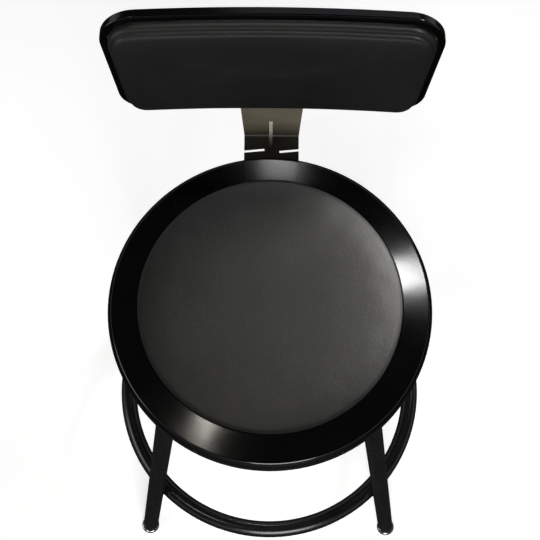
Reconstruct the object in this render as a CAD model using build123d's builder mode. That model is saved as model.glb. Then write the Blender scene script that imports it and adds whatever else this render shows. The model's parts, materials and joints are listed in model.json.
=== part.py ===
from build123d import *
from math import asin, atan2, cos, degrees, hypot, radians, sin, tan
import os

# Height-adjustable swivel stool with a backrest.  Millimetres, +Z up, seat front towards -Y.
# Origin: on the floor, on the swivel axis.

# ---- driving dimensions ----
LEG_AZIMUTHS = {"front_right": -45, "rear_right": 45, "rear_left": 135, "front_left": 225}
LEG_R = 12.7                    # 1 inch tube
LEG_WALL = 1.6
LEG_FLOOR_RADIUS = 292.5        # leg axis on the floor plane
LEG_TOP_RADIUS = 181.5          # leg axis at the top of the frame
LEG_START = 12.0                # tube end, measured along the leg axis from the floor

RING_TUBE_R = 12.7              # the same 1 inch tube, bent to a circle
RING_WALL = 1.6
RING_Z = 187.0
RING_JOINT_DEG = 0.4            # butt joint at the back of the ring

FRAME_TOP = 590.5               # top of the spider arms
ARM_SHEET = 2.5
ARM_WIDTH = 30.8
ARM_DEPTH = 24.5
ARM_END_RADIUS = 198.0

HUB_R = 22.25
HUB_BORE_R = 18.6
HUB_BOTTOM = 480.0
HUB_PLATE_R = 60.0
HUB_PLATE_T = 4.0
BUSH_FLANGE_R = 22.0
BUSH_FLANGE_T = 2.0
POST_R = 15.9                   # 1 1/4 inch tube
POST_WALL = 2.0
POST_BOTTOM = 345.0
STOP_RING_Z = 358.0
RUNNING_CLEARANCE = 0.05
PRESS_GAP = 0.02

SEAT_R = 203.2                  # 16 inch seat
SKIRT_BOTTOM = 612.6            # lower edge of the pressed ring's skirt
BOARD_BOTTOM = 628.0
BOARD_T = 12.0
BOARD_R = 188.0
PLATE_T = 2.6                   # swivel plates
BALL_R = 3.0
BALL_COUNT = 20
BALL_PITCH_R = 38.0
RACE_GAP = 6.4
FLANGE_T = 5.0
PIN_R = 8.0

ARM_PLATE_T = 4.0               # bent plate that carries the backrest
ARM_PLATE_TOP = 627.6
ARM_PLATE_WIDTH = 72.0
ARM_FRONT_Y = 92.0
BEND_Y = 239.8
LEAN = 6.0                      # backrest leans back by this many degrees
NECK_X = 0.6
NECK_WIDTH = 19.6
NOTCH_LEFT_Y = 218.0
NOTCH_RIGHT_Y = 219.3
NOTCH_WIDTH = 4.7
NOTCH_SKEW = 6.0

BACK_BOTTOM = 85.5              # along the lean, from the bend
BACK_TOP = 261.4
BACK_HALF_BOTTOM = 183.6
BACK_HALF_TOP = 200.1
BACK_CORNER_BOTTOM = 36.0
BACK_CORNER_TOP = 43.0
BACK_CURVE_R = 2400.0
SHELL_T = 2.0
SHELL_DEPTH = 10.0
SHELL_RIM = 9.3                 # flat rim round the cushion's pocket
BACK_FACE_DEPTH = 28.5

# ---- derived dimensions ----
LEG_TOP = FRAME_TOP - ARM_SHEET
LEG_TILT = degrees(atan2(LEG_FLOOR_RADIUS - LEG_TOP_RADIUS, LEG_TOP))
LEG_LENGTH = hypot(LEG_FLOOR_RADIUS - LEG_TOP_RADIUS, LEG_TOP)
LEG_RADIUS_AT_RING = LEG_FLOOR_RADIUS - (LEG_FLOOR_RADIUS - LEG_TOP_RADIUS) * RING_Z / LEG_TOP
RING_R = LEG_RADIUS_AT_RING - (LEG_R + RING_TUBE_R + 0.05) / cos(radians(LEG_TILT))
HUB_PLATE_TOP = FRAME_TOP + HUB_PLATE_T
UPPER_PLATE_BOTTOM = BOARD_BOTTOM - PLATE_T
LOWER_PLATE_TOP = UPPER_PLATE_BOTTOM - RACE_GAP
LOWER_PLATE_BOTTOM = LOWER_PLATE_TOP - PLATE_T
FLANGE_BOTTOM = LOWER_PLATE_BOTTOM - FLANGE_T
BOARD_TOP = BOARD_BOTTOM + BOARD_T
BACK_PLANE = Plane(
    origin=(0, BEND_Y, ARM_PLATE_TOP),
    x_dir=(1, 0, 0),
    z_dir=(0, -cos(radians(LEAN)), sin(radians(LEAN))),
)
CURVE_PLANE = Plane(
    origin=(0, BEND_Y, ARM_PLATE_TOP),
    x_dir=(1, 0, 0),
    z_dir=(0, sin(radians(LEAN)), cos(radians(LEAN))),
)

os.makedirs("parts", exist_ok=True)


def save(builder, name):
    """Label a finished piece and write it as one STEP file."""
    builder.part.label = name
    export_step(builder.part, f"parts/{name}.step")


def radial_plane(azimuth, radius, height):
    """Plane facing outwards from the swivel axis, its own y pointing up."""
    a = radians(azimuth)
    return Plane(
        origin=(radius * cos(a), radius * sin(a), height),
        x_dir=(-sin(a), cos(a), 0),
        z_dir=(cos(a), sin(a), 0),
    )


def leg_plane(azimuth, along=0.0):
    """Plane square to a leg's axis, at a distance along it from the floor."""
    a = radians(azimuth)
    rise = LEG_TOP / LEG_LENGTH
    inward = (LEG_FLOOR_RADIUS - LEG_TOP_RADIUS) / LEG_LENGTH
    radius = LEG_FLOOR_RADIUS - inward * along
    return Plane(
        origin=(radius * cos(a), radius * sin(a), rise * along),
        x_dir=(-sin(a), cos(a), 0),
        z_dir=(-inward * cos(a), -inward * sin(a), rise),
    )


# ---- legs, with their foot glides ----
GLIDE_PLUG = 20.0
GLIDE_COLLAR = 2.2
GLIDE_BALL_R = 6.5
CUP_R = 15.0
CUP_HEIGHT = 6.4


def make_leg(azimuth):
    """Straight tube from the glide up to the underside of its spider arm."""
    with BuildPart() as leg:
        with BuildSketch(leg_plane(azimuth, LEG_START)):
            Circle(LEG_R)
            Circle(LEG_R - LEG_WALL, mode=Mode.SUBTRACT)
        extrude(amount=LEG_LENGTH)
        split(bisect_by=Plane.XY.offset(LEG_TOP), keep=Keep.BOTTOM)
    return leg


def make_glide_insert(azimuth):
    """Plug in the tube's end, with a collar and the ball that the cup turns on."""
    with BuildPart() as insert:
        with BuildSketch(leg_plane(azimuth, LEG_START)):
            Circle(LEG_R - LEG_WALL)
        extrude(amount=GLIDE_PLUG)
        with BuildSketch(leg_plane(azimuth, LEG_START - GLIDE_COLLAR)):
            Circle(LEG_R)
        extrude(amount=GLIDE_COLLAR)
        with Locations(leg_plane(azimuth, LEG_START - 3.0)):
            Sphere(GLIDE_BALL_R)
    return insert


def make_glide_cup(azimuth, insert):
    """Domed steel cup that stands flat on the floor under a splayed leg."""
    a = radians(azimuth)
    with BuildPart() as cup:
        with BuildSketch(Plane((LEG_FLOOR_RADIUS * cos(a), LEG_FLOOR_RADIUS * sin(a), 0))):
            Circle(CUP_R)
        extrude(amount=CUP_HEIGHT, taper=12)
        fillet(cup.faces().sort_by(Axis.Z)[-1].edges(), 2.0)
        add(insert.part, mode=Mode.SUBTRACT)
    return cup


for corner, leg_azimuth in LEG_AZIMUTHS.items():
    leg_tube = make_leg(leg_azimuth)
    save(leg_tube, f"leg_{corner}")
    glide_insert = make_glide_insert(leg_azimuth)
    save(glide_insert, f"glide_insert_{corner}")
    glide_cup = make_glide_cup(leg_azimuth, glide_insert)
    save(glide_cup, f"glide_cup_{corner}")


# ---- foot ring, inside the legs ----
with BuildPart() as foot_ring:
    with BuildSketch(Plane.YZ):
        with Locations((RING_R, RING_Z)):
            Circle(RING_TUBE_R)
            Circle(RING_TUBE_R - RING_WALL, mode=Mode.SUBTRACT)
    revolve(axis=Axis.Z, revolution_arc=360 - RING_JOINT_DEG)
save(foot_ring, "foot_ring")

with BuildPart() as ring_envelope:
    with BuildSketch(Plane.YZ):
        with Locations((RING_R, RING_Z)):
            Circle(RING_TUBE_R)
    revolve(axis=Axis.Z)

WELD_R = 7.0
with BuildPart() as foot_ring_welds:
    for leg_azimuth in LEG_AZIMUTHS.values():
        with Locations(radial_plane(leg_azimuth, RING_R + RING_TUBE_R, RING_Z)):
            Sphere(WELD_R)
    add(ring_envelope.part, mode=Mode.SUBTRACT)
    for leg_azimuth in LEG_AZIMUTHS.values():
        with BuildSketch(leg_plane(leg_azimuth)):
            Circle(LEG_R)
        extrude(amount=LEG_LENGTH, mode=Mode.SUBTRACT)
save(foot_ring_welds, "foot_ring_welds")


# ---- spider: four pressed channels from the hub to the legs ----
def make_spider_arm(azimuth):
    """Channel open downwards, saddle-cut at the hub, over the leg's end."""
    with BuildPart() as arm:
        with BuildSketch(radial_plane(azimuth, 10.0, FRAME_TOP)):
            with Locations((0, -ARM_DEPTH / 2)):
                Rectangle(ARM_WIDTH, ARM_DEPTH)
            with Locations((0, -ARM_SHEET - ARM_DEPTH / 2)):
                Rectangle(ARM_WIDTH - 2 * ARM_SHEET, ARM_DEPTH, mode=Mode.SUBTRACT)
        extrude(amount=ARM_END_RADIUS - 10.0)
        fillet(arm.edges().filter_by(GeomType.LINE).group_by(Axis.Z)[-1].filter_by(
            lambda edge: abs(edge.length - (ARM_END_RADIUS - 10.0)) < 1), 2.0)
        with BuildSketch(Plane.XY.offset(HUB_BOTTOM)):
            Circle(HUB_R)
        extrude(amount=FRAME_TOP - HUB_BOTTOM + 5, mode=Mode.SUBTRACT)
    return arm


for corner, leg_azimuth in LEG_AZIMUTHS.items():
    spider_arm = make_spider_arm(leg_azimuth)
    save(spider_arm, f"spider_arm_{corner}")

BEAD_WIDTH = 1.8
BEAD_HEIGHT = 2.4
with BuildPart() as spider_welds:
    for leg_azimuth in LEG_AZIMUTHS.values():
        bead_start = (FRAME_TOP - ARM_DEPTH - BEAD_HEIGHT) / cos(radians(LEG_TILT))
        with BuildSketch(leg_plane(leg_azimuth, bead_start)):
            Circle(LEG_R + BEAD_WIDTH)
            Circle(LEG_R, mode=Mode.SUBTRACT)
        extrude(amount=BEAD_HEIGHT * 3)
    with BuildSketch(Plane.XY.offset(FRAME_TOP - ARM_DEPTH)):
        Circle(LEG_FLOOR_RADIUS)
    extrude(amount=ARM_DEPTH, mode=Mode.SUBTRACT)
save(spider_welds, "spider_welds")


# ---- hub: tube, top plate, two bushes and the clamp boss ----
CLAMP_Z = 535.0
CLAMP_SCREW_R = 5.0
CLAMP_BOSS_R = 9.5
CLAMP_BOSS_END = 33.0

with BuildPart() as hub_tube:
    with BuildSketch(Plane.XY.offset(HUB_BOTTOM)):
        Circle(HUB_R)
        Circle(HUB_BORE_R, mode=Mode.SUBTRACT)
    extrude(amount=FRAME_TOP - HUB_BOTTOM)
    with BuildSketch(radial_plane(0, 0, CLAMP_Z)):
        Circle(CLAMP_SCREW_R + 0.4)
    extrude(amount=HUB_R + 5, mode=Mode.SUBTRACT)
save(hub_tube, "hub_tube")

with BuildPart() as hub_plate:
    with BuildSketch(Plane.XY.offset(FRAME_TOP)):
        Circle(HUB_PLATE_R)
        Circle(HUB_BORE_R, mode=Mode.SUBTRACT)
    extrude(amount=HUB_PLATE_T)
    fillet(hub_plate.edges().filter_by(GeomType.CIRCLE).sort_by(SortBy.RADIUS)[-1], 1.0)
save(hub_plate, "hub_plate")


def make_bush(body_bottom, body_top, flange_bottom):
    """Flanged nylon sleeve that the post slides in."""
    with BuildPart() as bush:
        with BuildSketch(Plane.XY.offset(body_bottom)):
            Circle(HUB_BORE_R - PRESS_GAP)
        extrude(amount=body_top - body_bottom)
        with BuildSketch(Plane.XY.offset(flange_bottom)):
            Circle(BUSH_FLANGE_R)
        extrude(amount=BUSH_FLANGE_T)
        with BuildSketch(Plane.XY.offset(HUB_BOTTOM - 10)):
            Circle(POST_R + RUNNING_CLEARANCE)
        extrude(amount=FRAME_TOP - HUB_BOTTOM + 30, mode=Mode.SUBTRACT)
    return bush


hub_bush_upper = make_bush(560.0, HUB_PLATE_TOP, HUB_PLATE_TOP)
save(hub_bush_upper, "hub_bush_upper")
hub_bush_lower = make_bush(HUB_BOTTOM, 510.0, HUB_BOTTOM - BUSH_FLANGE_T)
save(hub_bush_lower, "hub_bush_lower")

with BuildPart() as clamp_boss:
    with BuildSketch(radial_plane(0, 0, CLAMP_Z)):
        Circle(CLAMP_BOSS_R)
        Circle(CLAMP_SCREW_R + RUNNING_CLEARANCE, mode=Mode.SUBTRACT)
    extrude(amount=CLAMP_BOSS_END)
    with BuildSketch(Plane.XY.offset(HUB_BOTTOM)):
        Circle(HUB_R)
    extrude(amount=FRAME_TOP - HUB_BOTTOM, mode=Mode.SUBTRACT)
    fillet(clamp_boss.edges().filter_by(GeomType.CIRCLE).sort_by(Axis.X)[-1], 0.8)
save(clamp_boss, "clamp_boss")


# ---- clamp knobs ----
def make_screw(plane, radius, length):
    """Plain screw along the plane's normal, chamfered at its tip."""
    with BuildPart() as screw:
        with BuildSketch(plane):
            Circle(radius)
        extrude(amount=length)
        tip = screw.faces().filter_by(GeomType.PLANE).sort_by_distance(plane.origin)[0]
        chamfer(tip.edges(), 0.8)
    return screw


def make_knob(plane, radius, neck, grip, screw):
    """Five-lobed grip with a round neck, moulded on the end of its screw."""
    with BuildPart() as knob:
        with BuildSketch(plane.offset(neck)):
            Circle(radius * 0.80)
            with PolarLocations(radius * 0.68, 5):
                Circle(radius * 0.32)
        extrude(amount=grip)
        fillet(knob.edges().group_by(Axis(plane.origin, plane.z_dir))[-1], 2.0)
        fillet(knob.edges().group_by(Axis(plane.origin, plane.z_dir))[0], 1.5)
        with BuildSketch(plane):
            Circle(radius * 0.42)
        extrude(amount=neck)
        add(screw.part, mode=Mode.SUBTRACT)
    return knob


CLAMP_TIP = POST_R + 0.1
height_clamp_screw = make_screw(radial_plane(0, CLAMP_TIP, CLAMP_Z), CLAMP_SCREW_R, 38.0)
save(height_clamp_screw, "height_clamp_screw")
height_clamp_knob = make_knob(
    radial_plane(0, CLAMP_BOSS_END + 1.0, CLAMP_Z), 23.0, 9.0, 16.0, height_clamp_screw)
save(height_clamp_knob, "height_clamp_knob")


# ---- seat post ----
with BuildPart() as seat_post:
    with BuildSketch(Plane.XY.offset(POST_BOTTOM)):
        Circle(POST_R)
        Circle(POST_R - POST_WALL, mode=Mode.SUBTRACT)
    extrude(amount=FLANGE_BOTTOM - POST_BOTTOM)
save(seat_post, "seat_post")


def make_post_ring(bottom, height, outer_radius):
    """Collar round the post."""
    with BuildPart() as ring:
        with BuildSketch(Plane.XY.offset(bottom)):
            Circle(outer_radius)
            Circle(POST_R, mode=Mode.SUBTRACT)
        extrude(amount=height)
        fillet(ring.edges().filter_by(GeomType.CIRCLE).sort_by(SortBy.RADIUS)[-2:], 1.0)
    return ring


post_collar = make_post_ring(HUB_PLATE_TOP + BUSH_FLANGE_T + 0.2, 9.0, 21.5)
save(post_collar, "post_collar")
post_stop_ring = make_post_ring(STOP_RING_Z, 6.0, 20.5)
save(post_stop_ring, "post_stop_ring")

with BuildPart() as post_end_cap:
    with BuildSketch(Plane.XY.offset(POST_BOTTOM - 3)):
        Circle(POST_R)
    extrude(amount=3)
    fillet(post_end_cap.edges().sort_by(Axis.Z)[0], 1.5)
    with BuildSketch(Plane.XY.offset(POST_BOTTOM)):
        Circle(POST_R - POST_WALL)
    extrude(amount=12)
save(post_end_cap, "post_end_cap")

# ---- swivel: post flange, two plates, balls in a cage, centre pin ----
FLANGE_HALF = 60.0
FLANGE_BOLT = 39.0
BOLT_R = 3.0
UPPER_PLATE_HALF = 75.0
UPPER_SCREW = 62.0
WOOD_SCREW_R = 2.5
PIN_HEAD_R = 11.0
PIN_HEAD_T = 2.5

with BuildPart() as post_flange:
    with BuildSketch(Plane.XY.offset(FLANGE_BOTTOM)):
        RectangleRounded(2 * FLANGE_HALF, 2 * FLANGE_HALF, 14)
        Circle(PIN_HEAD_R + 1, mode=Mode.SUBTRACT)
        with GridLocations(2 * FLANGE_BOLT, 2 * FLANGE_BOLT, 2, 2):
            Circle(BOLT_R, mode=Mode.SUBTRACT)
    extrude(amount=FLANGE_T)
save(post_flange, "post_flange")

with BuildPart() as post_flange_weld:
    with BuildSketch(Plane.YZ):
        with BuildLine():
            Polyline(
                (POST_R, FLANGE_BOTTOM),
                (POST_R + 4.0, FLANGE_BOTTOM),
                (POST_R, FLANGE_BOTTOM - 4.0),
                close=True,
            )
        make_face()
    revolve(axis=Axis.Z)
save(post_flange_weld, "post_flange_weld")

with BuildPart() as swivel_lower_plate:
    with BuildSketch(Plane.XY.offset(LOWER_PLATE_BOTTOM)):
        RectangleRounded(2 * FLANGE_HALF + 4, 2 * FLANGE_HALF + 4, 15)
        Circle(PIN_R, mode=Mode.SUBTRACT)
        with GridLocations(2 * FLANGE_BOLT, 2 * FLANGE_BOLT, 2, 2):
            Circle(BOLT_R, mode=Mode.SUBTRACT)
    extrude(amount=PLATE_T)
save(swivel_lower_plate, "swivel_lower_plate")

with BuildPart() as swivel_bolts:
    with BuildSketch(Plane.XY.offset(FLANGE_BOTTOM - 6.0)):
        with GridLocations(2 * FLANGE_BOLT, 2 * FLANGE_BOLT, 2, 2):
            Circle(BOLT_R)
    extrude(amount=LOWER_PLATE_TOP - FLANGE_BOTTOM + 6.0)
    with BuildSketch(Plane.XY.offset(LOWER_PLATE_TOP)):
        with GridLocations(2 * FLANGE_BOLT, 2 * FLANGE_BOLT, 2, 2):
            Circle(5.2)
    extrude(amount=2.2)
    fillet(swivel_bolts.edges().filter_by(GeomType.CIRCLE).group_by(Axis.Z)[-1], 1.2)
save(swivel_bolts, "swivel_bolts")

with BuildPart() as swivel_nuts:
    with BuildSketch(Plane.XY.offset(FLANGE_BOTTOM - 5.0)):
        with GridLocations(2 * FLANGE_BOLT, 2 * FLANGE_BOLT, 2, 2):
            RegularPolygon(5.6, 6)
            Circle(BOLT_R, mode=Mode.SUBTRACT)
    extrude(amount=5.0)
save(swivel_nuts, "swivel_nuts")

with BuildPart() as swivel_pin:
    with BuildSketch(Plane.XY.offset(LOWER_PLATE_BOTTOM - PIN_HEAD_T)):
        Circle(PIN_HEAD_R)
    extrude(amount=PIN_HEAD_T)
    with BuildSketch(Plane.XY.offset(LOWER_PLATE_BOTTOM)):
        Circle(PIN_R)
    extrude(amount=BOARD_BOTTOM + 0.15 - LOWER_PLATE_BOTTOM)
    with BuildSketch(Plane.XY.offset(BOARD_BOTTOM + 0.15)):
        Circle(PIN_HEAD_R)
    extrude(amount=PIN_HEAD_T)
    fillet(swivel_pin.edges().filter_by(GeomType.CIRCLE).group_by(Axis.Z)[-1], 1.0)
save(swivel_pin, "swivel_pin")

BALL_Z = LOWER_PLATE_TOP + RACE_GAP / 2
with BuildPart() as swivel_balls:
    with Locations((0, 0, BALL_Z)):
        with PolarLocations(BALL_PITCH_R, BALL_COUNT):
            Sphere(BALL_R)
save(swivel_balls, "swivel_balls")

with BuildPart() as ball_cage:
    with BuildSketch(Plane.XY.offset(BALL_Z - 0.7)):
        Circle(BALL_PITCH_R + 4.5)
        Circle(BALL_PITCH_R - 4.5, mode=Mode.SUBTRACT)
        with PolarLocations(BALL_PITCH_R, BALL_COUNT):
            Circle(BALL_R + 0.1, mode=Mode.SUBTRACT)
    extrude(amount=1.4)
save(ball_cage, "ball_cage")

with BuildPart() as swivel_upper_plate:
    with BuildSketch(Plane.XY.offset(UPPER_PLATE_BOTTOM)):
        RectangleRounded(2 * UPPER_PLATE_HALF, 2 * UPPER_PLATE_HALF, 14)
        Circle(PIN_R + 0.06, mode=Mode.SUBTRACT)
        with GridLocations(2 * UPPER_SCREW, 2 * UPPER_SCREW, 2, 2):
            Circle(WOOD_SCREW_R, mode=Mode.SUBTRACT)
    extrude(amount=PLATE_T)
save(swivel_upper_plate, "swivel_upper_plate")


# ---- screws into the seat board ----
def make_wood_screws(points, head_top, tip_z):
    """Pan-head screws driven upwards, one at each point."""
    with BuildPart() as screws:
        with BuildSketch(Plane.XY.offset(head_top)):
            with Locations(*points):
                Circle(WOOD_SCREW_R)
        extrude(amount=tip_z - head_top)
        with BuildSketch(Plane.XY.offset(head_top - 2.2)):
            with Locations(*points):
                Circle(4.6)
        extrude(amount=2.2)
        fillet(screws.edges().filter_by(GeomType.CIRCLE).group_by(Axis.Z)[0], 1.3)
    return screws


SEAT_SCREW = 95.0
GUIDE_SCREW_X = 48.5
GUIDE_SCREW_YS = (110.0, 170.0)
corners = [(1, 1), (1, -1), (-1, 1), (-1, -1)]
swivel_screw_points = [(UPPER_SCREW * sx, UPPER_SCREW * sy) for sx, sy in corners]
seat_screw_points = [(SEAT_SCREW * sx, SEAT_SCREW * sy) for sx, sy in corners]
guide_screw_points = [(GUIDE_SCREW_X * sx, y) for sx in (-1, 1) for y in GUIDE_SCREW_YS]
GUIDE_SHEET = 2.5
GUIDE_FLANGE_BOTTOM = BOARD_BOTTOM - GUIDE_SHEET

swivel_screws = make_wood_screws(swivel_screw_points, UPPER_PLATE_BOTTOM, BOARD_BOTTOM + 10)
save(swivel_screws, "swivel_screws")
seat_screws = make_wood_screws(seat_screw_points, BOARD_BOTTOM, BOARD_TOP + 6)
save(seat_screws, "seat_screws")
guide_screws = make_wood_screws(guide_screw_points, GUIDE_FLANGE_BOTTOM, BOARD_BOTTOM + 10)
save(guide_screws, "guide_screws")

# ---- seat: board, pressed ring, cushion board and cushion ----
RING_SHEET = 1.5
RING_INNER_R = 142.0
HEM_R = 1.8                     # rolled hem along the skirt's lower edge
SKIRT_SLOT_GAP = 2.5            # room round the backrest plate where it leaves the skirt
CUSHION_BOARD_R = 161.5
CUSHION_BOARD_BOTTOM = BOARD_TOP + RING_SHEET + 0.1
CUSHION_BOARD_T = 6.0
CUSHION_R = 163.2
CUSHION_CROWN_Z = 661.5
CUSHION_EDGE_Z = 653.5

with BuildPart() as seat_board:
    with BuildSketch(Plane.XY.offset(BOARD_BOTTOM)):
        Circle(BOARD_R)
        with Locations(*seat_screw_points):
            Circle(WOOD_SCREW_R, mode=Mode.SUBTRACT)
    extrude(amount=BOARD_T)
    with BuildSketch(Plane.XY.offset(BOARD_BOTTOM)):
        with Locations(*swivel_screw_points, *guide_screw_points):
            Circle(WOOD_SCREW_R)
    extrude(amount=10, mode=Mode.SUBTRACT)
    with BuildSketch(Plane.XY.offset(BOARD_BOTTOM)):
        Circle(PIN_HEAD_R + 3)
    extrude(amount=5, mode=Mode.SUBTRACT)
    chamfer(seat_board.edges().filter_by(GeomType.CIRCLE).sort_by(SortBy.RADIUS)[-2:], 1.0)
save(seat_board, "seat_board")

with BuildPart() as seat_ring:
    with BuildSketch(Plane.YZ) as ring_section:
        with BuildLine():
            Polyline(
                (RING_INNER_R, BOARD_TOP + RING_SHEET),
                (162.3, BOARD_TOP + RING_SHEET),
                (164.2, 650.2),
                (166.0, 650.4),
                (198.4, 642.6),
                (SEAT_R, 636.6),
                (SEAT_R, SKIRT_BOTTOM + HEM_R),
                (SEAT_R - RING_SHEET, SKIRT_BOTTOM + HEM_R),
                (SEAT_R - RING_SHEET, 636.0),
                (197.4, 641.2),
                (166.0, 648.8),
                (163.9, BOARD_TOP),
                (RING_INNER_R, BOARD_TOP),
                close=True,
            )
        make_face()
        rolled = ring_section.vertices().sort_by_distance((198.4, 642.6))[:1]
        rolled += ring_section.vertices().sort_by_distance((SEAT_R, 636.6))[:1]
        fillet(rolled, 3.4)
        with Locations((SEAT_R - HEM_R, SKIRT_BOTTOM + HEM_R)):
            Circle(HEM_R)
    revolve(axis=Axis.Z)
    with BuildSketch(Plane.XY.offset(SKIRT_BOTTOM - 1)):
        with Locations((0, SEAT_R)):
            Rectangle(ARM_PLATE_WIDTH + 2 * SKIRT_SLOT_GAP, 20)
    extrude(amount=ARM_PLATE_TOP + SKIRT_SLOT_GAP / 2 - SKIRT_BOTTOM + 1, mode=Mode.SUBTRACT)
save(seat_ring, "seat_ring")

with BuildPart() as cushion_board:
    with BuildSketch(Plane.XY.offset(CUSHION_BOARD_BOTTOM)):
        Circle(CUSHION_BOARD_R)
    extrude(amount=CUSHION_BOARD_T)
    with BuildSketch(Plane.XY.offset(CUSHION_BOARD_BOTTOM)):
        with Locations(*seat_screw_points):
            Circle(WOOD_SCREW_R)
    extrude(amount=BOARD_TOP + 6 - CUSHION_BOARD_BOTTOM, mode=Mode.SUBTRACT)
save(cushion_board, "cushion_board")

CUSHION_BOTTOM = CUSHION_BOARD_BOTTOM + CUSHION_BOARD_T + 0.1
CUSHION_SHOULDER = 2.5
crown_edge_r = CUSHION_R - CUSHION_SHOULDER
crown_rise = CUSHION_CROWN_Z - CUSHION_EDGE_Z
crown_radius = (crown_edge_r**2 + crown_rise**2) / (2 * crown_rise)
crown_half_angle = asin(crown_edge_r / crown_radius) / 2
crown_middle = (
    crown_radius * sin(crown_half_angle),
    CUSHION_CROWN_Z - crown_radius * (1 - cos(crown_half_angle)),
)
with BuildPart() as seat_cushion:
    with BuildSketch(Plane.YZ):
        with BuildLine():
            Polyline(
                (0, CUSHION_CROWN_Z),
                (0, CUSHION_BOTTOM),
                (CUSHION_R, CUSHION_BOTTOM),
                (CUSHION_R, CUSHION_EDGE_Z - CUSHION_SHOULDER),
                (crown_edge_r, CUSHION_EDGE_Z),
            )
            ThreePointArc((crown_edge_r, CUSHION_EDGE_Z), crown_middle, (0, CUSHION_CROWN_Z))
        make_face()
    revolve(axis=Axis.Z)
save(seat_cushion, "seat_cushion")

# ---- guide under the seat that holds the backrest plate ----
GUIDE_INNER_HALF = ARM_PLATE_WIDTH / 2 + 0.4
GUIDE_FLOOR_TOP = ARM_PLATE_TOP - ARM_PLATE_T - 0.3
GUIDE_FRONT_Y = 95.0
GUIDE_REAR_Y = 185.0
GUIDE_FLANGE_HALF = 58.0
LOCK_Y = 130.0
LOCK_SCREW_R = 4.0
LOCK_NUT_T = 8.0

with BuildPart() as plate_guide:
    guide_floor = GUIDE_FLOOR_TOP - GUIDE_SHEET
    guide_depth = BOARD_BOTTOM - guide_floor
    with BuildSketch(Plane.XZ.offset(-GUIDE_REAR_Y)):
        with Locations((0, BOARD_BOTTOM - GUIDE_SHEET / 2)):
            Rectangle(2 * GUIDE_FLANGE_HALF, GUIDE_SHEET)
        with Locations((0, guide_floor + guide_depth / 2)):
            Rectangle(2 * (GUIDE_INNER_HALF + GUIDE_SHEET), guide_depth)
        with Locations((0, (GUIDE_FLOOR_TOP + BOARD_BOTTOM) / 2)):
            Rectangle(2 * GUIDE_INNER_HALF, BOARD_BOTTOM - GUIDE_FLOOR_TOP, mode=Mode.SUBTRACT)
    extrude(amount=GUIDE_REAR_Y - GUIDE_FRONT_Y)
    with BuildSketch(Plane.XY.offset(guide_floor)):
        with Locations(*guide_screw_points):
            Circle(WOOD_SCREW_R)
        with Locations((0, LOCK_Y)):
            Circle(LOCK_SCREW_R + 0.3)
    extrude(amount=guide_depth, mode=Mode.SUBTRACT)
save(plate_guide, "plate_guide")

with BuildPart() as lock_nut:
    with BuildSketch(Plane.XY.offset(guide_floor - LOCK_NUT_T)):
        with Locations((0, LOCK_Y)):
            RegularPolygon(8.6, 6)
            Circle(LOCK_SCREW_R + RUNNING_CLEARANCE, mode=Mode.SUBTRACT)
    extrude(amount=LOCK_NUT_T)
save(lock_nut, "lock_nut")

LOCK_TIP_Z = ARM_PLATE_TOP - ARM_PLATE_T - 0.1
lock_tip_plane = Plane((0, LOCK_Y, LOCK_TIP_Z), x_dir=(1, 0, 0), z_dir=(0, 0, -1))
plate_lock_screw = make_screw(lock_tip_plane, LOCK_SCREW_R, 24.0)
save(plate_lock_screw, "plate_lock_screw")
lock_knob_plane = Plane((0, LOCK_Y, guide_floor - LOCK_NUT_T - 0.8), x_dir=(1, 0, 0), z_dir=(0, 0, -1))
plate_lock_knob = make_knob(lock_knob_plane, 17.0, 4.0, 11.5, plate_lock_screw)
save(plate_lock_knob, "plate_lock_knob")

# ---- bent backrest plate: flat arm under the seat, then the leaning upright ----
UPRIGHT_TOP = 246.0             # along the lean, from the bend
UPRIGHT_TOP_HALF = 50.0
BACK_SCREW_R = 3.0
BACK_SCREW_ALONG = 200.0        # screw pattern on the upright
BACK_SCREW_DX = 44.0
BACK_SCREW_DV = 50.0
lean_tan = tan(radians(LEAN))
lean_cos = cos(radians(LEAN))
lean_sin = sin(radians(LEAN))


def on_upright(along, behind=0.0):
    """(Y, Z) of a point on the upright, so far up its lean and so far behind its front face."""
    y = BEND_Y + along * lean_sin + behind * lean_cos
    z = ARM_PLATE_TOP + along * lean_cos - behind * lean_sin
    return (y, z)


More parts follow.
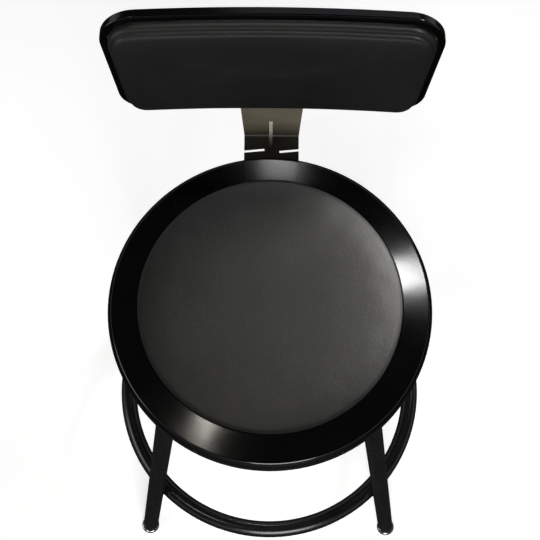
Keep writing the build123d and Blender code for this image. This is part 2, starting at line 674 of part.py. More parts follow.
outer_corner = (BEND_Y - ARM_PLATE_T * lean_tan + ARM_PLATE_T / lean_cos, ARM_PLATE_TOP - ARM_PLATE_T)
with BuildPart() as back_bracket:
    with BuildSketch(Plane.YZ) as bracket_section:
        with BuildLine():
            Polyline(
                (ARM_FRONT_Y, ARM_PLATE_TOP),
                (BEND_Y, ARM_PLATE_TOP),
                on_upright(UPRIGHT_TOP),
                on_upright(UPRIGHT_TOP, ARM_PLATE_T),
                outer_corner,
                (ARM_FRONT_Y, ARM_PLATE_TOP - ARM_PLATE_T),
                close=True,
            )
        make_face()
        fillet(bracket_section.vertices().sort_by_distance((BEND_Y, ARM_PLATE_TOP))[0], 3.0)
        fillet(bracket_section.vertices().sort_by_distance(outer_corner)[0], 7.0)
    extrude(amount=60, both=True)
    with BuildSketch(Plane.XZ) as bracket_outline:
        upright_top_z = on_upright(UPRIGHT_TOP)[1] + 2
        half_width = ARM_PLATE_WIDTH / 2
        with BuildLine():
            Polyline(
                (-half_width, 600),
                (-half_width, ARM_PLATE_TOP),
                (-UPRIGHT_TOP_HALF, upright_top_z),
                (UPRIGHT_TOP_HALF, upright_top_z),
                (half_width, ARM_PLATE_TOP),
                (half_width, 600),
                close=True,
            )
        make_face()
        fillet(bracket_outline.vertices().group_by(Axis.Y)[-1], 12.0)
    extrude(amount=-400, mode=Mode.INTERSECT)
    notch_length = half_width + 4
    with BuildSketch(Plane.XY.offset(ARM_PLATE_TOP - 10)):
        for side, notch_y in ((-1, NOTCH_LEFT_Y), (1, NOTCH_RIGHT_Y)):
            notch_centre = NECK_X + side * (NECK_WIDTH / 2 + notch_length / 2)
            with Locations((notch_centre, notch_y)):
                Rectangle(notch_length, NOTCH_WIDTH, rotation=NOTCH_SKEW)
    extrude(amount=20, mode=Mode.SUBTRACT)
    with BuildSketch(BACK_PLANE.offset(-10)):
        with Locations((0, BACK_SCREW_ALONG)):
            with GridLocations(BACK_SCREW_DX, BACK_SCREW_DV, 2, 2):
                Circle(BACK_SCREW_R)
    extrude(amount=20, mode=Mode.SUBTRACT)
save(back_bracket, "back_bracket")

GUSSET_X = -1.0
GUSSET_T = 4.5
GUSSET_HEIGHT = 34.0
GUSSET_DEPTH = 15.0
with BuildPart() as back_gusset:
    with BuildSketch(Plane.YZ.offset(GUSSET_X - GUSSET_T / 2)):
        with BuildLine():
            Polyline(
                (BEND_Y - 4, ARM_PLATE_TOP),
                on_upright(4),
                on_upright(GUSSET_HEIGHT),
                (BEND_Y - GUSSET_DEPTH, ARM_PLATE_TOP),
                close=True,
            )
        make_face()
    extrude(amount=GUSSET_T)
save(back_gusset, "back_gusset")


# ---- backrest: shell, board and cushion, all gently curved round the sitter ----
def backrest_slab(inset, rear_depth, front_depth):
    """Backrest outline, drawn in by an inset, between two curved surfaces in front of the plate."""
    with BuildPart() as slab:
        with BuildSketch(BACK_PLANE.offset(-20)) as outline:
            with BuildLine():
                Polyline(
                    (-BACK_HALF_BOTTOM, BACK_BOTTOM),
                    (-BACK_HALF_TOP, BACK_TOP),
                    (BACK_HALF_TOP, BACK_TOP),
                    (BACK_HALF_BOTTOM, BACK_BOTTOM),
                    close=True,
                )
            make_face()
            fillet(outline.vertices().group_by(Axis.Y)[-1], BACK_CORNER_TOP)
            fillet(outline.vertices().group_by(Axis.Y)[0], BACK_CORNER_BOTTOM)
            if inset:
                offset(amount=-inset)
        extrude(amount=90)
        with BuildSketch(CURVE_PLANE):
            with Locations((0, -BACK_CURVE_R)):
                Circle(BACK_CURVE_R - rear_depth)
                Circle(BACK_CURVE_R - front_depth, mode=Mode.SUBTRACT)
        extrude(amount=400, mode=Mode.INTERSECT)
    return slab.part


BACK_BOARD_REAR = SHELL_T + 0.05
BACK_BOARD_FRONT = 7.6
BACK_FIT = 0.3                  # play of the board and cushion in the shell's pocket
TNUT_R = 4.6
TNUT_FLANGE_R = 9.0
TNUT_FLANGE_T = 1.2
BACK_SCREW_HEAD_R = 5.6


def screw_bars(radius, rear_depth, front_depth):
    """Round bars square to the plate at the four screw places."""
    with BuildPart() as bars:
        with BuildSketch(BACK_PLANE.offset(rear_depth)):
            with Locations((0, BACK_SCREW_ALONG)):
                with GridLocations(BACK_SCREW_DX, BACK_SCREW_DV, 2, 2):
                    Circle(radius)
        extrude(amount=front_depth - rear_depth)
    return bars.part


with BuildPart() as backrest_shell:
    add(backrest_slab(0, 0, SHELL_DEPTH))
    shell_depth_axis = Axis(BACK_PLANE.origin, BACK_PLANE.z_dir)
    fillet(backrest_shell.edges().group_by(shell_depth_axis)[-1], 1.6)
    add(backrest_slab(SHELL_RIM, SHELL_T, 60), mode=Mode.SUBTRACT)
    add(screw_bars(BACK_SCREW_R, -5, SHELL_T + 5), mode=Mode.SUBTRACT)
save(backrest_shell, "backrest_shell")

with BuildPart() as backrest_board:
    add(backrest_slab(SHELL_RIM + BACK_FIT, BACK_BOARD_REAR, BACK_BOARD_FRONT))
    add(screw_bars(TNUT_R, -5, 20), mode=Mode.SUBTRACT)
save(backrest_board, "backrest_board")

TNUT_FLANGE_REAR = BACK_BOARD_FRONT + 0.3
with BuildPart() as backrest_tnuts:
    add(screw_bars(TNUT_R, SHELL_T + 0.6, TNUT_FLANGE_REAR))
    add(screw_bars(TNUT_FLANGE_R, TNUT_FLANGE_REAR, TNUT_FLANGE_REAR + TNUT_FLANGE_T))
    add(screw_bars(BACK_SCREW_R, -10, 20), mode=Mode.SUBTRACT)
save(backrest_tnuts, "backrest_tnuts")

with BuildPart() as backrest_screws:
    add(screw_bars(BACK_SCREW_R, -ARM_PLATE_T, BACK_BOARD_FRONT))
    add(screw_bars(BACK_SCREW_HEAD_R, -ARM_PLATE_T - 3.2, -ARM_PLATE_T))
save(backrest_screws, "backrest_screws")

with BuildPart() as backrest_cushion:
    add(backrest_slab(SHELL_RIM + BACK_FIT, BACK_BOARD_FRONT + TNUT_FLANGE_T + 0.5, BACK_FACE_DEPTH))
    fillet(backrest_cushion.edges().group_by(Axis(BACK_PLANE.origin, BACK_PLANE.z_dir))[-1], 6.0)
save(backrest_cushion, "backrest_cushion")
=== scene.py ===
"""Looks of the adjustable swivel stool: vinyl pads, enamel, plated steel, plywood, studio light."""

import json
from math import cos, pi, radians, sin, sqrt, tan

import bmesh
import bpy
from mathutils import Matrix, Vector, noise


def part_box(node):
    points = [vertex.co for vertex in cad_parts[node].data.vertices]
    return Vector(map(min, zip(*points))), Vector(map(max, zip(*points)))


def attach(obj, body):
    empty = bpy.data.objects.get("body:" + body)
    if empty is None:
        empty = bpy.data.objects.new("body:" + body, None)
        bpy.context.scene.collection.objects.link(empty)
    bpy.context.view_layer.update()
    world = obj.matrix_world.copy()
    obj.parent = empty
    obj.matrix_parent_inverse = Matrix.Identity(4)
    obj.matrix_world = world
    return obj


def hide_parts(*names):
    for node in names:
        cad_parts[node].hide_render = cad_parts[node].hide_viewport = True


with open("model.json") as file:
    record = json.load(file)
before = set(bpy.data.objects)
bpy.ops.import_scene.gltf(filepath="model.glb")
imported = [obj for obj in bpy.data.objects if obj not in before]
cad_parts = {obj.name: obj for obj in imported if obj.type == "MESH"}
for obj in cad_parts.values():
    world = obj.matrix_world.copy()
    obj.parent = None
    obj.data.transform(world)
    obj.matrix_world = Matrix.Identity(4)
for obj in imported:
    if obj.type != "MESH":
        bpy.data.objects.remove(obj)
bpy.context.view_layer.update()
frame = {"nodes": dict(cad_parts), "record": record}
nodes = frame["nodes"]
MM = 0.001


# ---------------------------------------------------------------- materials
class Surface:
    """A procedural material: a Principled shader with helpers for its texture nodes."""

    def __init__(self, name):
        self.material = bpy.data.materials.new(name)
        self.material.use_nodes = True
        self.tree = self.material.node_tree
        self.shader = self.tree.nodes["Principled BSDF"]
        self.coordinates = self.add("ShaderNodeTexCoord").outputs["Object"]

    def add(self, kind, **settings):
        node = self.tree.nodes.new(kind)
        for key, value in settings.items():
            setattr(node, key, value)
        return node

    def link(self, source, target):
        self.tree.links.new(source, target)

    def stretched(self, scale):
        """Object coordinates scaled on each axis, for grain that runs one way."""
        mapping = self.add("ShaderNodeMapping")
        mapping.inputs["Scale"].default_value = scale
        self.link(self.coordinates, mapping.inputs["Vector"])
        return mapping.outputs["Vector"]

    def noise(self, scale, detail=3.0, roughness=0.5, vector=None, distortion=0.0):
        node = self.add("ShaderNodeTexNoise")
        node.inputs["Scale"].default_value = scale
        node.inputs["Detail"].default_value = detail
        node.inputs["Roughness"].default_value = roughness
        node.inputs["Distortion"].default_value = distortion
        self.link(vector or self.coordinates, node.inputs["Vector"])
        return node.outputs["Fac"]

    def cells(self, scale, feature="F1", output="Distance"):
        node = self.add("ShaderNodeTexVoronoi", feature=feature)
        node.inputs["Scale"].default_value = scale
        self.link(self.coordinates, node.inputs["Vector"])
        return node.outputs[output]

    def spread(self, factor, low, high, start=0.3, end=0.7):
        """Maps a texture value from start..end to low..high."""
        node = self.add("ShaderNodeMapRange")
        node.inputs["From Min"].default_value = start
        node.inputs["From Max"].default_value = end
        node.inputs["To Min"].default_value = low
        node.inputs["To Max"].default_value = high
        self.link(factor, node.inputs["Value"])
        return node.outputs["Result"]

    def ramp(self, factor, *stops):
        """Colour ramp of (position, colour) stops."""
        node = self.add("ShaderNodeValToRGB")
        elements = node.color_ramp.elements
        while len(elements) < len(stops):
            elements.new(0.5)
        for element, (position, colour) in zip(elements, stops):
            element.position = position
            element.color = (*colour, 1.0)
        self.link(factor, node.inputs["Fac"])
        return node.outputs["Color"]

    def mix(self, factor, first, second):
        node = self.add("ShaderNodeMix", data_type="RGBA", blend_type="MIX")
        sockets = (node.inputs["Factor"], node.inputs["A"], node.inputs["B"])
        for socket, value in zip(sockets, (factor, first, second)):
            if hasattr(value, "is_output"):
                self.link(value, socket)
            else:
                socket.default_value = value
        return node.outputs["Result"]

    def maths(self, operation, first, second):
        node = self.add("ShaderNodeMath", operation=operation)
        for socket, value in zip(node.inputs, (first, second)):
            if hasattr(value, "is_output"):
                self.link(value, socket)
            else:
                socket.default_value = value
        return node.outputs["Value"]

    def bump(self, *layers):
        """Layers of (height, depth in metres), from the coarsest to the finest."""
        normal = None
        for height, depth in layers:
            node = self.add("ShaderNodeBump")
            node.inputs["Distance"].default_value = depth
            self.link(height, node.inputs["Height"])
            if normal is not None:
                self.link(normal, node.inputs["Normal"])
            normal = node.outputs["Normal"]
        self.link(normal, self.shader.inputs["Normal"])

    def finish(self, colour=None, roughness=None, **constants):
        if colour is not None:
            self.link(colour, self.shader.inputs["Base Color"])
        if roughness is not None:
            self.link(roughness, self.shader.inputs["Roughness"])
        for key, value in constants.items():
            self.shader.inputs[key.replace("_", " ")].default_value = value
        return self.material


COLD_BLACK = (1.0, 1.01, 1.06)
# painted reflection: this brown-grey tint lightens the bracket's black paint to stand in for the pale floor
# mirrored in it
PAINTED_REFLECTION_TINT = (1.0, 0.86, 0.60)


def enamel(name, shade, gloss, peel_scale, peel_depth, tint=COLD_BLACK, dust_share=0.22):
    """Sprayed paint: orange peel, faint dust and fine rub marks."""
    s = Surface(name)
    cloud = s.noise(14.0, 4.0, 0.6)
    dust = s.noise(2600.0, 2.0, 0.5)
    rub = s.noise(900.0, 3.0, 0.6, vector=s.stretched((0.12, 1.0, 0.35)))
    base = s.ramp(cloud, (0.30, [shade * 0.78 * c for c in tint]), (0.72, [shade * 1.2 * c for c in tint]))
    specks = s.spread(dust, 0.0, dust_share, 0.70, 0.80)
    colour = s.mix(specks, base, (0.055, 0.054, 0.050, 1.0))
    rubbed = s.spread(rub, 0.0, 0.05, 0.55, 0.75)
    roughness = s.maths("ADD", s.spread(cloud, gloss * 0.85, gloss * 1.25), rubbed)
    s.bump((s.noise(peel_scale, 2.0, 0.4), peel_depth), (dust, peel_depth * 0.10))
    return s.finish(colour, roughness, Specular_IOR_Level=0.5)


def vinyl(name, shade, gloss, shine):
    """Upholstery vinyl: pebbled grain with pores and painted shade in its creases, slightly polished where
    it is sat on.
    """
    s = Surface(name)
    warp = s.noise(260.0, 2.0, 0.5)
    pebbles = s.cells(720.0, "SMOOTH_F1")
    creases = s.cells(430.0, "DISTANCE_TO_EDGE")
    pores = s.noise(2400.0, 2.0, 0.6)
    patches = s.noise(9.0, 3.0, 0.55)
    base = s.ramp(
        patches,
        (0.30, [shade * 0.84, shade * 0.82, shade * 0.80]),
        (0.70, [shade * 1.16, shade * 1.13, shade * 1.08]))
    # painted shade: the grain's creases are darkened towards shade * 0.45
    painted_crease_shade = s.spread(creases, 0.35, 0.0, 0.0, 0.09)
    colour = s.mix(painted_crease_shade, base, (shade * 0.45, shade * 0.44, shade * 0.43, 1.0))
    roughness = s.maths("ADD", s.spread(patches, gloss - 0.035, gloss + 0.045), s.spread(pores, -0.02, 0.04))
    crease_depth = s.spread(creases, 0.0, 1.0, 0.0, 0.08)
    s.bump((warp, 0.00012), (pebbles, 0.00010), (crease_depth, 0.00006), (pores, 0.000015))
    return s.finish(colour, roughness, Specular_IOR_Level=shine)


def plated(name, tint, gloss, spangle):
    """Plated steel: metal with fine polishing lines and mottled zinc or a mirror finish."""
    s = Surface(name)
    lines = s.noise(1500.0, 3.0, 0.6, vector=s.stretched((1.0, 1.0, 0.08)))
    patches = s.cells(240.0, "F1", output="Color")
    mottle = s.add("ShaderNodeSeparateColor")
    s.link(patches, mottle.inputs["Color"])
    cloud = s.noise(60.0, 3.0, 0.6)
    flakes = s.maths("MULTIPLY", mottle.outputs["Red"], spangle)
    value = s.maths("ADD", flakes, s.maths("MULTIPLY", cloud, 0.5))
    dark = [c * 0.80 for c in tint]
    colour = s.ramp(value, (0.1, dark), (0.7, tint))
    roughness = s.maths("ADD", s.spread(lines, gloss * 0.8, gloss * 1.3), s.spread(cloud, 0.0, 0.05))
    s.bump((lines, 0.000006), (cloud, 0.00002))
    return s.finish(colour, roughness, Metallic=1.0)


def moulded(name, colour_low, colour_high, gloss):
    """Injection-moulded plastic with a fine spark-eroded grain."""
    s = Surface(name)
    grain = s.noise(2100.0, 3.0, 0.6)
    cloud = s.noise(45.0, 3.0, 0.5)
    colour = s.ramp(cloud, (0.3, colour_low), (0.7, colour_high))
    roughness = s.spread(grain, gloss - 0.05, gloss + 0.07)
    s.bump((grain, 0.00004), (cloud, 0.00005))
    return s.finish(colour, roughness)


def plywood(name, ply):
    """Birch plywood: long grain on the faces, stacked plies on the edges."""
    s = Surface(name)
    grain = s.noise(70.0, 6.0, 0.62, vector=s.stretched((0.10, 1.0, 1.0)), distortion=0.6)
    fibres = s.noise(900.0, 3.0, 0.6, vector=s.stretched((0.05, 1.0, 1.0)))
    layers = s.add("ShaderNodeTexWave", wave_type="BANDS", bands_direction="Z", wave_profile="TRI")
    layers.inputs["Scale"].default_value = pi / (10.0 * ply)
    layers.inputs["Distortion"].default_value = 0.4
    s.link(s.coordinates, layers.inputs["Vector"])
    face = s.ramp(grain, (0.28, (0.34, 0.21, 0.11)), (0.52, (0.52, 0.36, 0.20)), (0.74, (0.62, 0.46, 0.28)))
    core = s.mix(s.spread(layers.outputs["Fac"], 0.0, 0.45), face, (0.24, 0.14, 0.07, 1.0))
    colour = s.mix(s.spread(fibres, 0.0, 0.25, 0.5, 0.75), core, (0.25, 0.15, 0.08, 1.0))
    s.bump((grain, 0.00012), (fibres, 0.00005))
    return s.finish(colour, s.spread(fibres, 0.55, 0.75))


PAINT = {
    "frame_paint": enamel("frame_paint", 0.0060, 0.20, 620.0, 0.000012),
    # the bracket's brown-grey shade is a painted reflection of the pale floor in its black paint
    "bracket_paint": enamel("bracket_paint", 0.0360, 0.42, 900.0, 0.000020, tint=PAINTED_REFLECTION_TINT),
    "gloss_black": enamel("gloss_black", 0.0016, 0.13, 260.0, 0.000008, dust_share=0.08),
    "seat_vinyl": vinyl("seat_vinyl", 0.0070, 0.43, 0.5),
    # painted light: back_vinyl is the seat's black vinyl at twice its shade; the extra lightness stands in
    # for light on the upright face
    "back_vinyl": vinyl("back_vinyl", 0.0140, 0.40, 0.5),
    "bright_steel": plated("bright_steel", (0.80, 0.81, 0.83), 0.08, 0.05),
    "zinc_steel": plated("zinc_steel", (0.62, 0.63, 0.62), 0.27, 0.45),
    "black_plastic": moulded(
        "black_plastic", (0.010, 0.010, 0.011), (0.018, 0.018, 0.019), 0.38),
    "nylon": moulded("nylon", (0.58, 0.57, 0.52), (0.68, 0.67, 0.62), 0.42),
    "brass_cage": plated("brass_cage", (0.72, 0.52, 0.22), 0.24, 0.15),
    "plywood": plywood("plywood", 1.5 * MM),
}

for entry in frame["record"]["subparts"]:
    mesh = nodes[entry["node"]].data
    mesh.materials.clear()
    mesh.materials.append(PAINT[entry["material_slot"]])


# ---------------------------------------------------------------- mesh helpers
def new_object(name, mesh, material):
    mesh.materials.clear()
    mesh.materials.append(material)
    for polygon in mesh.polygons:
        polygon.use_smooth = True
    obj = bpy.data.objects.new(name, mesh)
    bpy.context.scene.collection.objects.link(obj)
    return obj


def rings_to_mesh(name, rings):
    """Closed skin over a list of closed rings of points, each with the same count."""
    bm = bmesh.new()
    rows = [[bm.verts.new(point) for point in ring] for ring in rings]
    count = len(rows[0])
    for row, following in zip(rows, rows[1:]):
        for i in range(count):
            j = (i + 1) % count
            bm.faces.new((row[i], row[j], following[j], following[i]))
    caps = [bm.faces.new(list(reversed(rows[0]))), bm.faces.new(rows[-1])]
    bmesh.ops.poke(bm, faces=caps)
    bmesh.ops.recalc_face_normals(bm, faces=bm.faces)
    mesh = bpy.data.meshes.new(name)
    bm.to_mesh(mesh)
    bm.free()
    return mesh


def bake_modifier(obj, kind, **settings):
    """Adds a modifier and keeps its result as the object's mesh."""
    modifier = obj.modifiers.new(kind.lower(), kind)
    for key, value in settings.items():
        setattr(modifier, key, value)
    graph = bpy.context.evaluated_depsgraph_get()
    baked = bpy.data.meshes.new_from_object(obj.evaluated_get(graph))
    obj.modifiers.clear()
    obj.data = baked
    for polygon in obj.data.polygons:
        polygon.use_smooth = True


CLOTH_PRESSURE = 4.0
CLOTH_STEPS = 20


def inflate(obj, held, cap):
    """Blows a closed pad up as cloth. The held points stay, and no point moves beyond cap."""
    rest = [v.co.copy() for v in obj.data.vertices]
    pins = obj.vertex_groups.new(name="held")
    pins.add(held, 1.0, "REPLACE")
    modifier = obj.modifiers.new("cloth", "CLOTH")
    cloth = modifier.settings
    cloth.quality = 5
    cloth.mass = 0.3
    cloth.tension_stiffness = 20.0
    cloth.compression_stiffness = 20.0
    cloth.bending_stiffness = 1.0
    cloth.use_pressure = True
    cloth.uniform_pressure_force = CLOTH_PRESSURE
    cloth.vertex_group_mass = pins.name
    cloth.effector_weights.gravity = 0.0
    modifier.collision_settings.use_collision = False
    for step in range(1, CLOTH_STEPS + 1):
        bpy.context.scene.frame_set(step)
    evaluated = obj.evaluated_get(bpy.context.evaluated_depsgraph_get())
    moved = [v.co.copy() for v in evaluated.to_mesh().vertices]
    evaluated.to_mesh_clear()
    obj.modifiers.clear()
    for vertex, start, end in zip(obj.data.vertices, rest, moved):
        shift = end - start
        if shift.length > cap:
            shift *= cap / shift.length
        vertex.co = start + shift
    bpy.context.scene.frame_set(1)


def relax(obj, picked, rounds):
    """Evens out the picked points, which takes creases out of a stretched cover."""
    group = obj.vertex_groups.new(name="relaxed")
    group.add(picked, 1.0, "REPLACE")
    bake_modifier(obj, "SMOOTH", factor=0.5, iterations=rounds, vertex_group="relaxed")


def smooth_curve(points, steps):
    """Catmull-Rom curve through 2-D points."""
    padded = [points[0], *points, points[-1]]
    out = []
    for a, b, c, d in zip(padded, padded[1:], padded[2:], padded[3:]):
        for i in range(steps):
            t = i / steps
            out.append(tuple(
                0.5 * (2 * q + (r - p) * t + (2 * p - 5 * q + 4 * r - s) * t * t
                       + (3 * q - p - 3 * r + s) * t ** 3)
                for p, q, r, s in zip(a, b, c, d)))
    out.append(points[-1])
    return out


def finish_pad(pad, body, node):
    """Puts the pad in the place of its plain solid, on the same body."""
    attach(pad, body)
    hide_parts(node)


# ---------------------------------------------------------------- seat pad
SEAT_SEGMENTS = 144
LIP_OVERLAP = 2.0 * MM          # how far the pad's edge stands over the ring's lip
SEAT_HELD = 3.4 * MM            # the cloth is held up to this height over the pad's bottom
SEAT_MAX_SHIFT = 0.8 * MM       # furthest that the cloth may move
SEAT_SMOOTHED = 7.0 * MM        # the cover is smoothed down to this far below its top


def seat_pad():
    """Round pad in the ring: short side wall, soft shoulder over the lip, low crown."""
    low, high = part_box("seat_cushion")
    edge, bottom, top = high.x, low.z, high.z
    side = [(edge, bottom), (edge, bottom + 2.4 * MM), (edge + 1.2 * MM, bottom + 3.1 * MM)]
    shoulder = [
        (edge + LIP_OVERLAP, top - 9.9 * MM),
        (edge + LIP_OVERLAP - 0.5 * MM, top - 8.9 * MM),
        (edge - 0.6 * MM, top - 7.7 * MM),
        (edge - 3.6 * MM, top - 6.5 * MM),
        (edge - 9.0 * MM, top - 5.3 * MM),
        (edge - 16.0 * MM, top - 4.3 * MM),
        (edge - 26.0 * MM, top - 3.4 * MM),
        (edge - 44.0 * MM, top - 2.4 * MM),
    ]
    crown_drops = ((0.60, 1.6), (0.46, 1.1), (0.30, 0.8), (0.14, 0.62), (0.05, 0.6))
    crown = [(edge * share, top - drop * MM) for share, drop in crown_drops]
    profile = smooth_curve(side + shoulder + crown, 3)
    turn = 2 * pi / SEAT_SEGMENTS
    rings = [[(r * cos(turn * k), r * sin(turn * k), z) for k in range(SEAT_SEGMENTS)] for r, z in profile]
    pad = new_object("seat_pad", rings_to_mesh("seat_pad", rings), PAINT["seat_vinyl"])
    held = [v.index for v in pad.data.vertices if v.co.z < bottom + SEAT_HELD]
    inflate(pad, held, SEAT_MAX_SHIFT)
    relax(pad, [v.index for v in pad.data.vertices if v.co.z > top - SEAT_SMOOTHED], 12)
    bake_modifier(pad, "SUBSURF", levels=1, render_levels=1)
    for vertex in pad.data.vertices:
        x, y, z = vertex.co
        if z > bottom + 4 * MM:
            near_edge = max(0.0, 1 - abs(sqrt(x * x + y * y) - (edge - 5 * MM)) / (12 * MM))
            vertex.co.z += 0.16 * MM * near_edge * noise.noise(Vector((x * 60, y * 60, 3.0)))
            vertex.co.z += 0.22 * MM * noise.noise(Vector((x * 14, y * 14, 8.0)))
    finish_pad(pad, "seat", "seat_cushion")


seat_pad()

# ---------------------------------------------------------------- backrest pad
LEAN = radians(6.0)             # the backrest leans back
BACK_ORIGIN = Vector((0, 0.2398, 0.6276))
UP = Vector((0, sin(LEAN), cos(LEAN)))
FRONT = Vector((0, -cos(LEAN), sin(LEAN)))
CURVE_R = 2.4
BACK_BOTTOM, BACK_TOP = 0.0855, 0.2614
HALF_BOTTOM, HALF_TOP = 0.1836, 0.2001
CORNER_BOTTOM, CORNER_TOP = 0.036, 0.043
FACE_CORNER = 0.018             # least corner radius of the rings across the face
LONG_SIDE, SHORT_SIDE, CORNER_STEPS = 36, 14, 10
BACK_HELD = 26.5 * MM           # bead and rolled edge, up to this depth, are held
BACK_MAX_SHIFT = 1.0 * MM       # furthest that the cloth may move
BACK_SMOOTHED = 27.2 * MM       # the face in front of this depth is smoothed


def back_point(across, up, depth):
    """Point in the backrest's own curved space, in front of the bracket."""
    forward = depth + across ** 2 / (2 * CURVE_R)
    return BACK_ORIGIN + Vector((across, 0, 0)) + UP * up + FRONT * forward


def rounded_outline(inset):
    """Backrest outline drawn in by an inset: four corner arcs joined by straight runs."""
    slope = (HALF_TOP - HALF_BOTTOM) / (BACK_TOP - BACK_BOTTOM)
    secant = sqrt(1 + slope ** 2)
    low, high = BACK_BOTTOM + inset, BACK_TOP - inset
    half_low, half_high = (
        HALF_BOTTOM + slope * (up - BACK_BOTTOM) - inset * secant for up in (low, high))
    places = ((half_low, low), (half_high, high), (-half_high, high), (-half_low, low))
    corners = [Vector(place) for place in places]
    outer_radii = (CORNER_BOTTOM, CORNER_TOP, CORNER_TOP, CORNER_BOTTOM)
    radii = [max(radius - inset, FACE_CORNER) for radius in outer_radii]
    arcs = []
    for i, (corner, radius) in enumerate(zip(corners, radii)):
        before = (corners[i - 1] - corner).normalized()
        after = (corners[(i + 1) % 4] - corner).normalized()
        half_angle = before.angle(after) / 2
        centre = corner + (before + after).normalized() * (radius / sin(half_angle))
        start = corner + before * (radius / tan(half_angle)) - centre
        end = corner + after * (radius / tan(half_angle)) - centre
        sweep = start.angle(end)
        arc = []
        for k in range(CORNER_STEPS + 1):
            share = k / CORNER_STEPS
            arc.append(centre + (start * sin((1 - share) * sweep) + end * sin(share * sweep)) / sin(sweep))
        arcs.append(arc)
    points = []
    for i, arc in enumerate(arcs):
        following = arcs[(i + 1) % 4]
        steps = LONG_SIDE if i % 2 else SHORT_SIDE
        points += arc + [arc[-1].lerp(following[0], k / steps) for k in range(1, steps)]
    return points


def back_pad():
    """Moulded pad: shoulder out of the shell's pocket, sewn-in crease, then the raised face."""
    shoulder = [
        (9.9, 8.7), (9.6, 11.5), (9.7, 14.5), (10.2, 17.2), (11.4, 19.2),
        (13.0, 19.9), (14.3, 19.9), (14.9, 20.9),
        (15.2, 22.6), (16.0, 24.6), (18.0, 26.0), (22.0, 27.0), (30.0, 27.7), (42.0, 28.1),
    ]
    rings = []
    for inset, depth in smooth_curve(shoulder, 3):
        rings.append([back_point(p.x, p.y, depth * MM) for p in rounded_outline(inset * MM)])
    face_depth = shoulder[-1][1] * MM
    middle = (BACK_BOTTOM + BACK_TOP) / 2
    face_edge = rounded_outline(shoulder[-1][0] * MM)
    for share in (0.14, 0.28, 0.42, 0.56, 0.70, 0.84):
        ring = [p.lerp(Vector((p.x * 0.55, middle)), share) for p in face_edge]
        rings.append([back_point(p.x, p.y, face_depth + 0.5 * MM * sin(share * pi / 2)) for p in ring])
    pad = new_object("back_pad", rings_to_mesh("back_pad", rings), PAINT["back_vinyl"])

    def depth_of(co):
        return (co - BACK_ORIGIN).dot(FRONT) - co.x ** 2 / (2 * CURVE_R)

    held = [v.index for v in pad.data.vertices if depth_of(v.co) < BACK_HELD]
    inflate(pad, held, BACK_MAX_SHIFT)
    relax(pad, [v.index for v in pad.data.vertices if depth_of(v.co) > BACK_SMOOTHED], 60)
    bake_modifier(pad, "SUBSURF", levels=1, render_levels=1)
    for vertex in pad.data.vertices:
        if depth_of(vertex.co) > 15 * MM:
            ripple = noise.noise(Vector((vertex.co.x * 18, vertex.co.z * 18, 1.0)))
            vertex.co += FRONT * (0.25 * MM * ripple)
    finish_pad(pad, "backrest", "backrest_cushion")


back_pad()


# ---------------------------------------------------------------- studio
FLOOR_SIZE = 40.0
AIM = Vector((0, 0, 0.63))      # middle of the seat


def studio_floor():
    """Pale floor that the paint doesn't mirror."""
    bm = bmesh.new()
    bmesh.ops.create_grid(bm, x_segments=8, y_segments=8, size=FLOOR_SIZE)
    mesh = bpy.data.meshes.new("floor")
    bm.to_mesh(mesh)
    bm.free()
    s = Surface("pale_floor")
    cloud = s.noise(1.5, 3.0, 0.5)
    colour = s.ramp(cloud, (0.3, (0.86, 0.86, 0.86)), (0.7, (0.90, 0.90, 0.90)))
    roughness = s.spread(cloud, 0.75, 0.85)
    material = s.finish(colour, roughness, Specular_IOR_Level=0.2, Emission_Strength=0.52)
    s.shader.inputs["Emission Color"].default_value = (1.0, 1.0, 1.0, 1.0)
    floor = new_object("floor", mesh, material)
    floor.location.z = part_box("glide_cup_front_left")[0].z
    floor.visible_glossy = False


def soft_box(name, direction, distance, size, power, height=None,
             colour=(1, 1, 1), shadow=True, spares=None, only=None):
    """Area light aimed at the seat, for all pieces but those it spares, or only for some."""
    light = bpy.data.lights.new(name, "AREA")
    light.shape = "RECTANGLE"
    light.size = size
    light.size_y = height or size
    light.energy = power
    light.color = colour
    light.use_shadow = shadow
    light.cycles.use_multiple_importance_sampling = shadow
    lamp = bpy.data.objects.new(name, light)
    if spares or only:
        group = bpy.data.collections.new(name + "_lit")
        for piece in spares or only:
            group.objects.link(nodes.get(piece) or bpy.data.objects[piece])
        if spares:
            for entry in group.collection_objects:
                entry.light_linking.link_state = "EXCLUDE"
        lamp.light_linking.receiver_collection = group
    bpy.context.scene.collection.objects.link(lamp)
    heading = Vector(direction).normalized()
    lamp.location = AIM + heading * distance
    lamp.rotation_euler = heading.to_track_quat("Z", "Y").to_euler()


def studio_world():
    """Dark below and overhead, with a bright wall round the horizon."""
    world = bpy.data.worlds.new("studio")
    bpy.context.scene.world = world
    world.use_nodes = True
    tree = world.node_tree
    background = tree.nodes["Background"]
    coordinates = tree.nodes.new("ShaderNodeTexCoord")
    split = tree.nodes.new("ShaderNodeSeparateXYZ")
    height = tree.nodes.new("ShaderNodeMapRange")
    height.inputs["From Min"].default_value = -1.0
    height.inputs["From Max"].default_value = 1.0
    ramp = tree.nodes.new("ShaderNodeValToRGB")
    elements = ramp.color_ramp.elements
    stops = ((-0.10, 0.02), (0.02, 0.55), (0.26, 0.55), (0.48, 0.02), (1.0, 0.02))
    while len(elements) < len(stops):
        elements.new(0.5)
    for element, (sine, glow) in zip(elements, stops):
        element.position = (sine + 1) / 2
        element.color = (glow, glow, glow, 1)
    tree.links.new(coordinates.outputs["Generated"], split.inputs["Vector"])
    tree.links.new(split.outputs["Z"], height.inputs["Value"])
    tree.links.new(height.outputs["Result"], ramp.inputs["Fac"])
    tree.links.new(ramp.outputs["Color"], background.inputs["Color"])


studio_floor()
studio_world()
BRACKET = ("back_bracket", "back_gusset")
SEAT_PAD, BACK_PAD, SHELL = ("seat_pad",), ("back_pad",), ("backrest_shell",)
WARM, WARMER, BLUISH = (1.0, 0.97, 0.90), (1.0, 0.96, 0.86), (0.86, 0.91, 1.0)

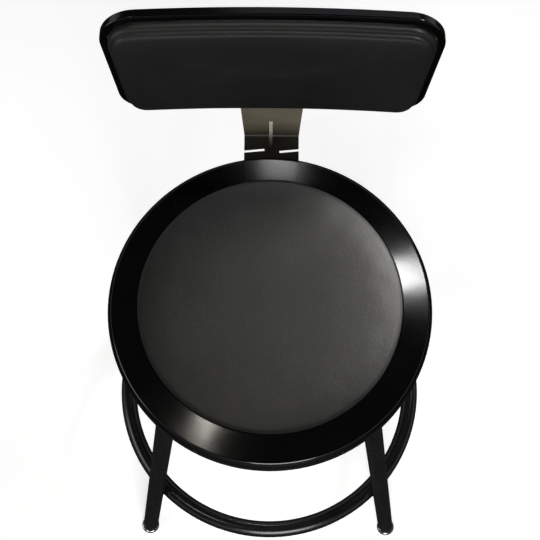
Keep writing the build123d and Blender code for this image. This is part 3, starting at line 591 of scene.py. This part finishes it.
# name, direction from the seat, distance, width, watts
soft_box("key_right", (0.525, 0.400, 0.743), 3.0, 0.38, 18.0, spares=BRACKET)
soft_box("seat_sheen", (0.63, 0.45, 0.63), 3.0, 1.0, 105.0, colour=(1.0, 0.98, 0.93), only=SEAT_PAD)
soft_box("seat_front", (-0.08, -0.16, 0.98), 3.0, 0.9, 6.0, colour=WARM, only=SEAT_PAD)
soft_box("seat_glow", (0.03, 0.785, 0.62), 3.0, 0.5, 5.0, shadow=False, only=SEAT_PAD)
soft_box("back_strip", (0.03, 0.83, 0.555), 3.0, 0.42, 4.2, height=0.12, shadow=False, spares=BRACKET)
soft_box("back_top", (0.03, 0.56, 0.83), 3.0, 0.8, 11.0, colour=WARM, only=BACK_PAD)
soft_box("rear_wide", (0.20, 0.69, 0.71), 3.4, 1.7, 3.0, colour=BLUISH, only=SHELL)
soft_box("top_left", (-0.264, -0.235, 0.934), 3.0, 0.30, 5.0, colour=WARMER, spares=BRACKET)
soft_box("side_left", (-0.86, -0.20, 0.42), 3.4, 1.6, 20.0, spares=SEAT_PAD)
soft_box("side_front", (0.10, -0.93, 0.36), 3.4, 1.6, 80.0, spares=SEAT_PAD + BACK_PAD + SHELL)
soft_box("face_fill", (0.0, -0.95, 0.28), 3.4, 3.0, 27.0, only=BACK_PAD)
soft_box("bracket_fill", (0.0, -0.99, 0.13), 3.4, 0.8, 160.0, colour=(1.0, 0.98, 0.90), only=BRACKET)


# ---------------------------------------------------------------- camera
CAMERA_PLACE = (0.0, -0.398, 1.915)
CAMERA_DOWN = 72.9              # degrees below the horizon
CAMERA_ROLL = 0.52              # degrees
CAMERA_LENS = 71.3              # millimetres, on a 36 mm sensor
CAMERA_SHIFT = 0.074


def photo_camera():
    """Camera high in front of the stool, looking steeply down."""
    data = bpy.data.cameras.new("camera")
    data.sensor_width = 36.0
    data.lens = CAMERA_LENS
    data.shift_y = CAMERA_SHIFT
    data.clip_end = 50.0
    camera = bpy.data.objects.new("camera", data)
    bpy.context.scene.collection.objects.link(camera)
    camera.location = CAMERA_PLACE
    tilt = Matrix.Rotation(radians(90 - CAMERA_DOWN), 4, "X")
    roll = Matrix.Rotation(radians(CAMERA_ROLL), 4, "Z")
    camera.rotation_euler = (tilt @ roll).to_euler()
    bpy.context.scene.camera = camera


photo_camera()
bpy.context.scene.view_settings.view_transform = "Standard"
bpy.context.scene.view_settings.look = "None"
